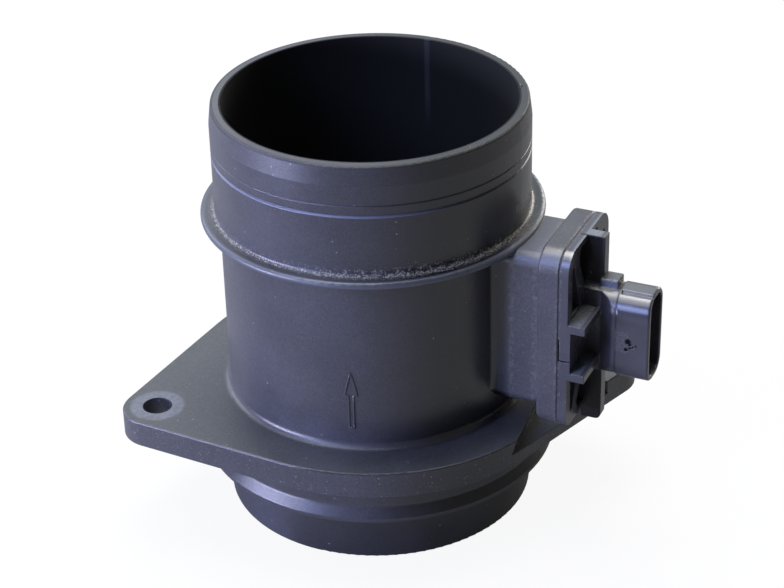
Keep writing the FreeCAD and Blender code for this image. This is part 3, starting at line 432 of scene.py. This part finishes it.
# %% [markdown]
# Gloss follows the same shares: dust and chalk are matt, and the right side, painted in shade, is glossier.
# The bore gives back less light than the rest. The grain could be real relief, but it is a few hundredths of
# a millimetre deep, which no mesh of this size can hold, so it is a bump over the rounded edges.
# The shader could be mixed from Diffuse and Glossy. Principled keeps the two in balance, so every material
# here ends in it.

# %% Housing: gloss and relief
materials = {}


def bump(tree, height, distance, normal=None):
    """Normal bent by a height, whose full scale is a distance in millimetres."""
    node = tree.nodes.new("ShaderNodeBump")
    node.inputs["Distance"].default_value = distance * MM
    node.inputs["Strength"].default_value = 1.0
    tree.feed(node.inputs["Height"], height)
    if normal is not None:
        tree.feed(node.inputs["Normal"], normal)
    return node.outputs[0]


def surface(tree, colour, rough, normal=None, metallic=0.0, specular=1.0, ior=1.5):
    """Finish the tree with a Principled shader."""
    node = tree.nodes.new("ShaderNodeBsdfPrincipled")
    node.inputs["Metallic"].default_value = metallic
    node.inputs["IOR"].default_value = ior
    tree.feed(node.inputs["Base Color"], colour)
    tree.feed(node.inputs["Roughness"], rough)
    tree.feed(node.inputs["Specular IOR Level"], specular)
    if normal is not None:
        tree.feed(node.inputs["Normal"], normal)
    tree.links.new(node.outputs[0], tree.out.inputs["Surface"])
    return node


rough = tree.math("ADD", ramp(tree, cloud, 0.3, 0.7, 0.31, 0.39), all_of(tree, chalky, 0.12))
rough = tree.math("ADD", rough, all_of(tree, flange_top, 0.04))
rough = tree.math("ADD", rough, all_of(tree, shaded_side, -0.07))
rough = tree.math("ADD", rough, any_of(tree, all_of(tree, bore, 0.5), all_of(tree, shoulder, 0.35)))
rough = tree.math("ADD", rough, all_of(tree, dust, 0.3), clamp=True)
relief = tree.math("ADD", all_of(tree, grain, 0.6), all_of(tree, blotch, neck, 1.2))
relief = tree.math("SUBTRACT", relief, all_of(tree, nicks, 6.0))
surface(tree, base, rough, bump(tree, relief, 0.05, rounded), specular=outside(tree, all_of(tree, bore, 0.6)))
materials["tube_housing"] = tree.material
print(tree.material.name, "has", len(tree.nodes), "nodes")

# %% [markdown]
# The plug-in sensor is a second moulding, a little smoother, and its connector is almost glossy.
# It could share the housing's material, but then the marks of both would be in one long tree. It gets a
# tree of its own on the same plan, with sharper edges on the sensor's head than on the connector.

# %% Sensor: noises and edges
PLUG_X = (63.0, 64.0)

tree = Tree("sensor_plastic")
x, y, z = places(tree)
cloud = noise(tree, 14.0, 3.0, 0.6, seed=2.0)
grain = noise(tree, 0.4, 3.0, 0.75, seed=5.0)
fibre = noise(tree, 1.0, 3.0, 0.75, seed=9.0)
top = facing(tree, UP)
plug = ramp(tree, x, *PLUG_X)
rounded = soft_edge(tree, ramp(tree, x, *PLUG_X, 0.2, 0.7))
edge = edges(tree, rounded)
print("connector from x", PLUG_X[1], "on")

# %% [markdown]
# Its colour is built up as the housing's was. Ledges that face up are made pale grey, with dust on them, and
# the top
# of the connector gets painted light. The recesses between the ribs and the faces of the web get painted
# shade:
# near black, and they hardly shine. They could be left to the lamps, but they are so shallow that they would
# come out as light as the faces beside them.

# %% Sensor: colour of the plastic
SHELF_X = (59.2, 62.5)
POCKET_X = (57.3, 59.9)
POCKET_Z = (26.9, 38.2)
POCKET_SIDE_Y = (-12.9, -12.4)
WEB_FACE_Y = (0.0, 0.6)
WEB_X = (57.8, 64.6)
LOW_WEB_Z = (20.6, 20.9)
HIGH_WEB_Z = (46.7, 47.0)

base = mix(tree, ramp(tree, cloud, 0.3, 0.7), rgb(0.066, 0.064, 0.082), rgb(0.086, 0.084, 0.104))
base = mix(tree, ramp(tree, grain, 0.35, 0.62, 0.25, 0.0), base, rgb(0.035, 0.035, 0.042))
base = mix(tree, ramp(tree, grain, 0.60, 0.78, 0.0, 0.25), base, rgb(0.170, 0.170, 0.180))
base = mix(tree, all_of(tree, edge, outside(tree, plug), 0.18), base, rgb(0.200, 0.205, 0.220))
shelf = all_of(tree, ramp(tree, top, 0.6, 0.9), band(tree, x, *SHELF_X, 0.8))
base = mix(tree, all_of(tree, shelf, 0.8), base, rgb(0.230, 0.250, 0.265))
# painted light: the connector's up-facing top is made pale grey
crown_light = all_of(tree, plug, ramp(tree, top, 0.55, 0.95))
base = mix(tree, all_of(tree, crown_light, 0.7), base, rgb(0.170, 0.168, 0.165))
pocket = all_of(tree, band(tree, x, *POCKET_X, 0.3), band(tree, z, *POCKET_Z, 0.4))
pocket = all_of(tree, pocket, ramp(tree, y, *POCKET_SIDE_Y))
web = all_of(tree, band(tree, y, *WEB_FACE_Y, 0.2), band(tree, x, *WEB_X, 0.3))
web = all_of(tree, web, any_of(tree, fall(tree, z, *LOW_WEB_Z), ramp(tree, z, *HIGH_WEB_Z)))
# painted shade: the pocket and the web's faces are made near black, and shine less
recess_shade = any_of(tree, pocket, web)
base = mix(tree, all_of(tree, recess_shade, 0.8), base, rgb(0.016, 0.015, 0.014))
print("pocket between z", POCKET_Z)

# %% [markdown]
# The connector's near side carries a worn square, with small dark pits at its edge.
# The pits could be cut out, but they are about a millimetre wide at most, so a call that measures the
# distance from a place gives each a dark, matt and sunken spot.

# %% Sensor: worn square and pits
NEAR_SIDE_Y = -3.6
SQUARE_X = (68.7, 72.2)
SQUARE_Z = (30.2, 35.8)
PITS = [
    (72.35, 33.4, 0.55, 0.95),
    (71.9, 31.0, 0.30, 0.65),
    (72.9, 32.6, 0.20, 0.60),
    (72.9, 31.6, 0.15, 0.45),
    (73.7, 32.0, 0.12, 0.40),
    (74.5, 32.5, 0.05, 0.35),
]

near_side = fall(tree, y, NEAR_SIDE_Y + 0.4, NEAR_SIDE_Y + 0.7)
square = all_of(tree, band(tree, x, *SQUARE_X, 0.4), band(tree, z, *SQUARE_Z, 0.5), near_side)
scuff = all_of(tree, square, ramp(tree, grain, 0.42, 0.62))
base = mix(tree, all_of(tree, scuff, 0.40), base, rgb(0.230, 0.225, 0.220))
pits = any_of(tree, *[near(tree, (pit_x, NEAR_SIDE_Y, pit_z), *size) for pit_x, pit_z, *size in PITS])
base = mix(tree, pits, base, rgb(0.008, 0.008, 0.008))
print("pits:", len(PITS))

# %% [markdown]
# Dust lies in the seam where the sensor meets the housing, and on its ledges. The connector's sleeve is the
# glossiest part. Its sides look softly crowned towards the top, where their light fades.
# A bump could slope them, but its height would have to be shaped to fit. Tilting the normal upwards does it
# at once, and leaves the outline as the solid has it.

# %% Sensor: dust, gloss and relief
SEAM_X = (56.8, 57.5)
SLEEVE_X = (68.6, 69.2)
CROWNING_Z = (38.5, 43.0)
CROWNING = 0.50


def lifted(tree, normal, amount):
    """Normal tilted upwards by an amount, most where it points to the front or back."""
    x, y, z = tree.parts(normal)
    lift = all_of(tree, tree.math("ABSOLUTE", y), amount)
    return tree.vector_math("NORMALIZE", tree.joined(x, y, tree.math("ADD", z, lift))).outputs[0]


seam = all_of(tree, band(tree, x, *SEAM_X, 0.3), ramp(tree, fibre, 0.50, 0.66))
shelf_grit = all_of(tree, shelf, dots(tree, 0.7, 0.2), ramp(tree, fibre, 0.45, 0.6), 0.4)
strays = all_of(tree, dots(tree, 4.0, 0.2), outside(tree, plug))
dust = any_of(tree, all_of(tree, seam, 0.22), shelf_grit, all_of(tree, strays, 0.4))
base = mix(tree, dust, base, rgb(0.550, 0.530, 0.470))
rough = ramp(tree, cloud, 0.3, 0.7, 0.25, 0.31)
rough = tree.math("ADD", rough, all_of(tree, ramp(tree, x, *SLEEVE_X), -0.10))
rough = tree.math("ADD", rough, any_of(tree, all_of(tree, scuff, 0.2), all_of(tree, pits, 0.6)))
rough = tree.math("ADD", rough, all_of(tree, dust, 0.3), clamp=True)
relief = tree.math("SUBTRACT", all_of(tree, grain, 0.02), all_of(tree, pits, 0.3))
crowned = lifted(tree, rounded, all_of(tree, plug, ramp(tree, z, *CROWNING_Z, 0.0, CROWNING, smooth=False)))
dull = any_of(tree, all_of(tree, pits, 0.9), all_of(tree, recess_shade, 0.6))
surface(tree, base, rough, bump(tree, relief, 1.0, crowned), specular=outside(tree, dull))
materials["sensor_body"] = tree.material
print(tree.material.name, "has", len(tree.nodes), "nodes")

# %% [markdown]
# The pieces inside hardly show, but each still gets the finish of its own stuff: moulded lids and grille,
# rubber, fired ceramic, rolled and drawn metal, polished silicon, a glass bead and clear gel.
# Each could have a tree of its own. Most differ only in colour and gloss, so one function makes every
# plain moulded, fired or glass piece.

# %% Inner pieces: plain mouldings
def grey(value, warm=0.0):
    """Linear grey, warmed towards brown by a positive value and cooled towards blue by a negative one."""
    return rgb(value * (1 + warm), value, value * (1 - warm))


def plain_plastic(name, dark, light, rough=0.5):
    """Clouded colour between dark and light, with a fine grain."""
    tree = Tree(name)
    cloud = noise(tree, 6.0, 3.0, 0.6)
    grain = noise(tree, 0.3, 2.0, 0.7, seed=5.0)
    gloss = ramp(tree, cloud, 0.3, 0.7, rough - 0.05, rough + 0.05)
    relief = bump(tree, grain, 0.015, soft_edge(tree, 0.15))
    surface(tree, mix(tree, cloud, dark, light), gloss, relief, specular=0.5)
    return tree.material


materials["flow_grille"] = plain_plastic("grille_plastic", grey(0.040, -0.1), grey(0.055, -0.1))
materials["sensor_seal_ring"] = plain_plastic("seal_rubber", grey(0.020), grey(0.035), 0.6)
materials["bypass_cover"] = plain_plastic("lid_plastic", grey(0.035), grey(0.050))
materials["electronics_cover"] = plain_plastic("lid_plastic_2", grey(0.035), grey(0.050))
materials["circuit_board"] = plain_plastic("fired_ceramic", grey(0.62, 0.04), grey(0.72, 0.03), 0.4)
materials["control_chip"] = plain_plastic("chip_resin", grey(0.025), grey(0.040), 0.55)
materials["chip_capacitors"] = plain_plastic(
    "capacitor_ceramic", rgb(0.24, 0.13, 0.06), rgb(0.32, 0.18, 0.09), 0.35)
materials["air_temperature_sensor"] = plain_plastic(
    "glass_bead", rgb(0.01, 0.05, 0.02), rgb(0.02, 0.08, 0.04), 0.15)
print("materials so far:", len(materials))

# %% [markdown]
# The plate, the leads, the wires and the pins are rolled or drawn metal, which has fine lines.
# A shader with anisotropy could stretch the highlights, but the lines themselves would be missing. Noise
# that is squeezed along one axis draws them, in the colour, the gloss and the relief at once.

# %% Inner pieces: metals
SQUEEZE = (1.0, 1.0, 12.0)


def metal(name, dark, light, rough):
    """Metal with fine lines that lie across its height."""
    tree = Tree(name)
    parts = tree.parts(tree.point)
    drawn = tree.joined(*[tree.math("MULTIPLY", part, times) for part, times in zip(parts, SQUEEZE)])
    lines = noise(tree, 1.2, 3.0, 0.6, vector=drawn)
    gloss = ramp(tree, lines, 0.3, 0.7, rough - 0.06, rough + 0.06)
    surface(tree, mix(tree, lines, dark, light), gloss, bump(tree, lines, 0.01), metallic=1.0, specular=0.5)
    return tree.material


materials["base_plate"] = metal("rolled_plate", grey(0.52), grey(0.66), 0.34)
materials["element_carrier"] = metal("rolled_tongue", grey(0.42), grey(0.55), 0.3)
materials["sensing_element"] = metal(
    "polished_silicon", rgb(0.10, 0.11, 0.17), rgb(0.16, 0.17, 0.25), 0.12)
materials["bond_wires"] = metal("drawn_wire", grey(0.60), grey(0.75), 0.25)
materials["temperature_leads"] = metal("tinned_lead", grey(0.50, 0.02), grey(0.62, 0.02), 0.3)
pin_material = metal("tin_plate", grey(0.50, 0.03), grey(0.65, 0.02), 0.28)
print("materials so far:", len(materials))

# %% [markdown]
# A soft clear gel covers the chip and its wires.
# It could be a plain glass shader, but gel is a little milky and its skin ripples. So most of its light
# passes through, with the index of silicone, and the rest shows a pale colour.

# %% Inner pieces: clear gel
GEL_IOR = 1.41
GEL_CLEARNESS = 0.85

tree = Tree("clear_gel")
ripple = noise(tree, 3.0, 2.0, 0.5)
gel_colour = mix(tree, ripple, rgb(0.62, 0.70, 0.74), rgb(0.80, 0.86, 0.88))
gel_gloss = ramp(tree, ripple, 0.3, 0.7, 0.05, 0.12)
gel = surface(tree, gel_colour, gel_gloss, bump(tree, ripple, 0.1), specular=0.5, ior=GEL_IOR)
gel.inputs["Transmission Weight"].default_value = GEL_CLEARNESS
materials["protective_gel"] = tree.material
print("gel lets through", GEL_CLEARNESS)

# %% [markdown]
# Every solid now takes its material. It could be picked for each by hand, but a solid that is forgotten
# would stay grey, so a loop goes through all of them. The solids that aren't in the dictionary are the
# pins, because all of them share one material.

# %% Give every solid its material
for name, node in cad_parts.items():
    node.data.materials.clear()
    node.data.materials.append(materials.get(name, pin_material))
    print(name, "is", node.data.materials[0].name)

# %% [markdown]
# A fine raised arrow on the front of the duct shows which way the air goes. It could be a bump in the
# housing's material, but a raised line has a true edge from every side. Its corners are given in degrees
# round the wall and in millimetres of height, and each side gets points between its corners, so that it
# follows the tube instead of cutting into it.

# %% Flow arrow: outline
DUCT_R = 40.45
ARROW_TURN = -75.0
TIP_Z = 30.4
BARB_Z = 23.5
FOOT_Z = 13.7
BARB_TURN = 2.4
SHAFT_TURN = 0.9
LINE_R = 0.28
POINTS_A_SIDE = 4

corners = [
    (0.0, TIP_Z),
    (BARB_TURN, BARB_Z),
    (SHAFT_TURN, BARB_Z),
    (SHAFT_TURN, FOOT_Z),
    (-SHAFT_TURN, FOOT_Z),
    (-SHAFT_TURN, BARB_Z),
    (-BARB_TURN, BARB_Z),
]


def on_duct(degrees, height):
    """Point on the duct's wall at an angle from the arrow's middle, in metres."""
    turn = math.radians(ARROW_TURN + degrees)
    return (DUCT_R * MM * math.cos(turn), DUCT_R * MM * math.sin(turn), height * MM, 1.0)


outline = []
for (turn, height), (next_turn, next_height) in zip(corners, corners[1:] + corners[:1]):
    for step in range(POINTS_A_SIDE):
        share = step / POINTS_A_SIDE
        outline.append(on_duct(turn + (next_turn - turn) * share, height + (next_height - height) * share))
print("arrow's outline has", len(outline), "points")

# %% [markdown]
# The raised line could be a mesh tube, but a curve keeps its outline and its thickness apart, so that
# either can be changed alone. It takes the housing's material, because it is moulded with it.

# %% Flow arrow as a round line
curve = bpy.data.curves.new("flow_arrow", "CURVE")
curve.dimensions = "3D"
curve.bevel_depth = LINE_R * MM
curve.bevel_resolution = 2
line = curve.splines.new("POLY")
line.points.add(len(outline) - 1)
for point, place in zip(line.points, outline):
    point.co = place
line.use_cyclic_u = True
curve.materials.append(materials["tube_housing"])
arrow = bpy.data.objects.new("flow_arrow", curve)
bpy.context.scene.collection.objects.link(arrow)
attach(arrow, "root")
print("arrow from z", FOOT_Z, "to", TIP_Z)

# %% [markdown]
# The photograph's ground is plain white. More light would burn out the object, so the white comes from
# the materials: rays straight from the camera see a floor and a world of strength 1. Mirrored and
# refracted rays see a small share of that white, and all other rays a grey floor and a dim world, so that
# the object is lit by its lamps alone.

# %% White for the camera
WHITE = rgb(1.0, 1.0, 1.0)
MIRRORED_WHITE = 0.10


def pale_share(nodes, links):
    """1 for rays from the camera, and a small share for mirrored and refracted rays."""
    path = nodes.new("ShaderNodeLightPath")
    bent = nodes.new("ShaderNodeMath")
    bent.operation = "MAXIMUM"
    links.new(path.outputs["Is Glossy Ray"], bent.inputs[0])
    links.new(path.outputs["Is Transmission Ray"], bent.inputs[1])
    part = nodes.new("ShaderNodeMath")
    part.operation = "MULTIPLY_ADD"
    part.use_clamp = True
    links.new(bent.outputs[0], part.inputs[0])
    part.inputs[1].default_value = MIRRORED_WHITE
    links.new(path.outputs["Is Camera Ray"], part.inputs[2])
    return part.outputs[0]


def camera_mix(nodes, links, plain, seen, out):
    """Plain shader for most rays, and the seen one for the pale share."""
    blend = nodes.new("ShaderNodeMixShader")
    links.new(pale_share(nodes, links), blend.inputs[0])
    links.new(plain.outputs[0], blend.inputs[1])
    links.new(seen.outputs[0], blend.inputs[2])
    links.new(blend.outputs[0], out.inputs["Surface"])


print("mirrored rays see", MIRRORED_WHITE, "of the white")

# %% [markdown]
# The floor is a wide plane just below the spigot. Seen from the camera it glows almost white and adds a
# little of the lamps' light, and that little is what the object's shadow takes away. Far off the lamps
# fade, so the glow rises to full white and no horizon shows.

# %% Floor
FLOOR_Z = -26.3
FLOOR_SIZE = 6.0
GLOW = (0.92, 1.0)
GLOW_RISE = (200.0, 1400.0)
SHADOW_TONE = rgb(0.07, 0.07, 0.07)

tree = Tree("pale_floor")
speckle = noise(tree, 60.0, 2.0, 0.5)
plain_floor = surface(tree, mix(tree, speckle, grey(0.24), grey(0.26)), 0.8, specular=0.0)
seen_floor = tree.nodes.new("ShaderNodeBsdfPrincipled")
seen_floor.inputs["Base Color"].default_value = SHADOW_TONE
seen_floor.inputs["Roughness"].default_value = 0.9
seen_floor.inputs["Specular IOR Level"].default_value = 0.0
seen_floor.inputs["Emission Color"].default_value = WHITE
floor_x, floor_y = places(tree)[:2]
glow = ramp(tree, reach(tree, floor_x, floor_y), *GLOW_RISE, *GLOW)
tree.feed(seen_floor.inputs["Emission Strength"], glow)
camera_mix(tree.nodes, tree.links, plain_floor, seen_floor, tree.out)

bpy.ops.object.select_all(action="DESELECT")
bpy.ops.mesh.primitive_plane_add(size=FLOOR_SIZE, location=(0.0, 0.0, FLOOR_Z * MM))
floor = bpy.context.object
floor.name = "floor"
floor.data.materials.append(tree.material)

# %% [markdown]
# Beyond the floor the camera sees the world. It could be one white background, but that would light the
# black plastic from all sides and turn it grey. So the world is almost dark, and white for the camera.

# %% World
DIM_STRENGTH = 0.02
DIM_COLOUR = rgb(0.9, 0.95, 1.0)

world = bpy.data.worlds.new("studio")
bpy.context.scene.world = world
world.use_nodes = True
nodes = world.node_tree.nodes
links = world.node_tree.links
nodes.clear()
dim = nodes.new("ShaderNodeBackground")
dim.inputs["Color"].default_value = DIM_COLOUR
dim.inputs["Strength"].default_value = DIM_STRENGTH
white = nodes.new("ShaderNodeBackground")
white.inputs["Color"].default_value = WHITE
white.inputs["Strength"].default_value = 1.0
camera_mix(nodes, links, dim, white, nodes.new("ShaderNodeOutputWorld"))
print("world strength", DIM_STRENGTH, "and", white.inputs["Strength"].default_value, "for the camera")

# %% [markdown]
# The light comes cool and low from the left, and warmer from above and behind.
# One large lamp would flatten the black plastic, which shows mostly what it mirrors. Seven soft lamps
# stand round it at one distance: each gives one of the highlights, and together they light a surface at
# a plain level. The lamp on the left is wide and low, so that it lights the walls and leaves the bore dark.

# %% Light
TARGET = Vector((0.0, 0.0, 30.0 * MM))
LAMP_REACH = 1.4


def direction(azimuth, elevation):
    """Unit vector at a compass angle and an elevation, in degrees."""
    turn = math.radians(azimuth)
    lift = math.radians(elevation)
    return Vector((math.cos(lift) * math.cos(turn), math.cos(lift) * math.sin(turn), math.sin(lift)))


def soft_light(name, azimuth, elevation, power, colour, width=0.8, height=0.8):
    """Soft lamp that looks at the object from a compass angle and an elevation."""
    lamp = bpy.data.lights.new(name, "AREA")
    lamp.shape = "RECTANGLE"
    lamp.size = width
    lamp.size_y = height
    lamp.energy = power
    lamp.color = colour
    away = direction(azimuth, elevation)
    rig = bpy.data.objects.new(name, lamp)
    rig.location = TARGET + away * LAMP_REACH
    rig.rotation_euler = (-away).to_track_quat("-Z", "Y").to_euler()
    bpy.context.scene.collection.objects.link(rig)
    print("lamp", name, "of", power, "W")


soft_light("window", -134, 3, 23.0, (0.62, 0.65, 1.0), width=0.8, height=0.36)
soft_light("pane", -113, 36, 8.5, (0.38, 0.48, 1.0), width=0.4, height=0.7)
soft_light("ceiling", 115, 75, 15.8, (1.0, 0.97, 0.93))
soft_light("skylight", -150, 72, 6.2, (0.90, 0.95, 1.0))
soft_light("far_left", 165, 25, 4.4, (0.84, 0.92, 1.0))
soft_light("far_wall", 118, 30, 1.6, (0.72, 0.86, 1.0))
soft_light("far_low", 80, 8, 8.5, (1.0, 0.97, 0.92))

# %% [markdown]
# The camera stands in front of the object, to its right and above. It could be placed by eye, but a few
# degrees change every ellipse, so its directions, lens and place were fitted to the part's circles and
# edges. The lens is given in pixels, as it was fitted, and turned into Blender's millimetres. Its axis
# misses the picture's middle by a few pixels, and the small shift makes up for that.

# %% Camera
PHOTO_WIDTH = 784.0
PHOTO_MIDDLE = (392.0, 294.0)
LENS_MIDDLE = (387.33, 293.82)
FOCAL_PIXELS = 2149.0
SENSOR_WIDTH = 36.0
CLIP_END = 10.0
CAMERA_PLACE = (0.21375, -0.45517, 0.31835)
CAMERA_ROLL = math.radians(-1.58)
LEVEL = Vector((0.9078, 0.4195, 0.0))
BACK = Vector((0.3640, -0.7877, 0.4971)).normalized()

steep = BACK.cross(LEVEL).normalized()
right = math.cos(CAMERA_ROLL) * LEVEL + math.sin(CAMERA_ROLL) * steep
upward = -math.sin(CAMERA_ROLL) * LEVEL + math.cos(CAMERA_ROLL) * steep

lens = bpy.data.cameras.new("camera")
lens.sensor_width = SENSOR_WIDTH
lens.lens = FOCAL_PIXELS * SENSOR_WIDTH / PHOTO_WIDTH
lens.shift_x = (PHOTO_MIDDLE[0] - LENS_MIDDLE[0]) / PHOTO_WIDTH
lens.shift_y = (LENS_MIDDLE[1] - PHOTO_MIDDLE[1]) / PHOTO_WIDTH
lens.clip_end = CLIP_END
camera = bpy.data.objects.new("camera", lens)
bpy.context.scene.collection.objects.link(camera)
camera.matrix_world = Matrix((
    (right.x, upward.x, BACK.x, CAMERA_PLACE[0]),
    (right.y, upward.y, BACK.y, CAMERA_PLACE[1]),
    (right.z, upward.z, BACK.z, CAMERA_PLACE[2]),
    (0.0, 0.0, 0.0, 1.0),
))
bpy.context.scene.camera = camera
bpy.context.scene.view_settings.view_transform = "Standard"
print("lens of", round(lens.lens, 1), "mm at", [round(v / MM) for v in CAMERA_PLACE])

# %% [markdown]
# The dressed object must be as large as the CAD made it.
